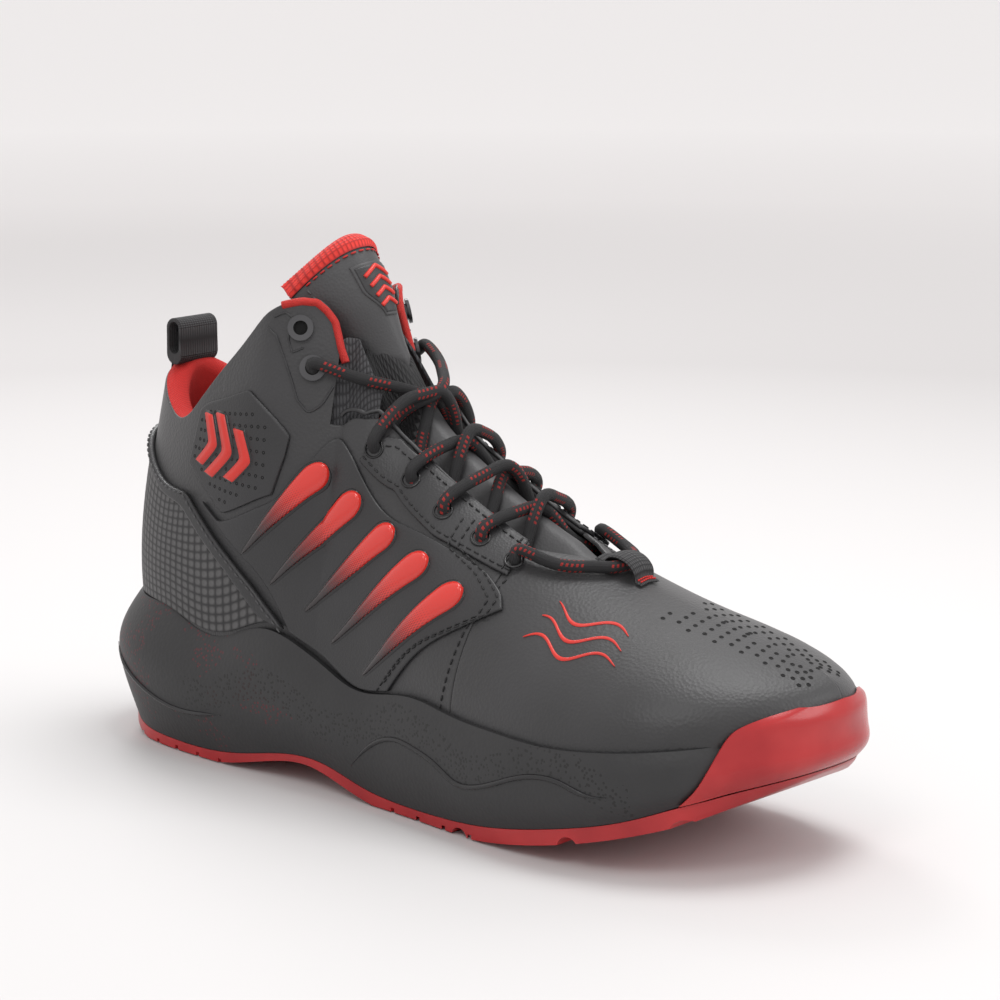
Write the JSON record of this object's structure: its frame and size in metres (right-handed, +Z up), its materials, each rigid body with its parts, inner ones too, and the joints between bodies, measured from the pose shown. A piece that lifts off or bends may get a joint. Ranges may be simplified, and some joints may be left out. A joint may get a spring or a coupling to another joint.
{
  "type": "high-top basketball shoe",
  "caption": "Right-foot high-top basketball shoe with padded collar wings, laced throat, hinged tongue end, red teardrop side pods, moulded midsole and translucent toe bumper.",
  "frame": {"origin": "on the ground, under the middle of the shoe", "axes": "+X from heel to toe, +Z up, lateral side towards -Y"},
  "size_m": [0.2993, 0.1032, 0.1796],
  "materials": {
    "upper_leather": "satin black synthetic leather, fine grain",
    "overlay_leather": "semi-gloss black synthetic leather",
    "tongue_leather": "soft dark grey leather, satin",
    "midsole_foam": "matt charcoal moulded foam",
    "outsole_rubber": "translucent red rubber, satin",
    "bumper_rubber": "translucent red rubber, satin",
    "shank_plate": "woven carbon composite plate",
    "board": "stiffened fibre board, matt",
    "sockliner_fabric": "black knit over foam",
    "lining_fabric": "red brushed mesh lining",
    "padding": "grey open foam",
    "gusset_mesh": "black spacer mesh",
    "heel_weave": "black woven textile with a moulded cross-hatch",
    "pod_gel": "glossy red fading to black at the tail",
    "emblem_gloss": "gloss black raised mark with a pale edge",
    "badge_gloss": "grey raised print",
    "red_trim": "bright red ribbed tape",
    "webbing": "dark grey woven webbing",
    "lace_cord": "round black braid with red flecks",
    "eyelet_metal": "black enamelled metal ring"
  },
  "bodies": {
    "shoe": {"ankle_patch_lateral": "overlay_leather", "ankle_patch_medial": "overlay_leather", "collar_foam": "padding", "collar_lining": "lining_fabric", "collar_wing_lateral": "upper_leather", "collar_wing_medial": "upper_leather", "emblem_lateral": "emblem_gloss", "emblem_medial": "emblem_gloss", "eyelet_rings": "eyelet_metal", "eyestay_lateral": "overlay_leather", "eyestay_medial": "overlay_leather", "gusset_lateral": "gusset_mesh", "gusset_medial": "gusset_mesh", "heel_counter": "board", "heel_panel": "heel_weave", "heel_quarter_lateral": "upper_leather", "heel_quarter_medial": "upper_leather", "heel_strap": "overlay_leather", "lace_keeper": "webbing", "laces": "lace_cord", "mid_quarter_lateral": "upper_leather", "mid_quarter_medial": "upper_leather", "midsole": "midsole_foam", "outsole": "outsole_rubber", "pods_lateral": "pod_gel", "pods_medial": "pod_gel", "quarter_overlay_lateral": "overlay_leather", "quarter_overlay_medial": "overlay_leather", "shank": "shank_plate", "strobel_board": "board", "toe_bumper": "bumper_rubber", "toe_puff": "board", "tongue_lower": "tongue_leather", "vamp": "upper_leather", "vamp_graphic": "badge_gloss", "vamp_lining": "lining_fabric", "wing_foam_lateral": "padding", "wing_foam_medial": "padding", "wing_lining_lateral": "lining_fabric", "wing_lining_medial": "lining_fabric", "wing_piping_lateral": "red_trim", "wing_piping_medial": "red_trim"},
    "tongue_end": {"tongue_top": "tongue_leather", "tongue_binding": "red_trim", "tongue_badge": "badge_gloss"},
    "pull_tab": {"pull_tab": "webbing"},
    "sockliner": {"sockliner": "sockliner_fabric"}
  },
  "joints": [
    {"name": "tongue_flex", "type": "hinge", "parent": "shoe", "child": "tongue_end", "pos_m": [-0.036, 0.002, 0.149], "axis": [0, 1, 0], "range_deg": [-20, 8], "stiffness_Nm_per_rad": 0.15},
    {"name": "pull_tab_flip", "type": "hinge", "parent": "shoe", "child": "pull_tab", "pos_m": [-0.127, 0.002, 0.1336], "axis": [0, 1, 0], "range_deg": [-25, 25], "stiffness_Nm_per_rad": 0.02},
    {"name": "sockliner_lift", "type": "hinge", "parent": "shoe", "child": "sockliner", "pos_m": [0.138, 0, 0.034], "axis": [0, 1, 0], "range_deg": [0, 6]}
  ]
}
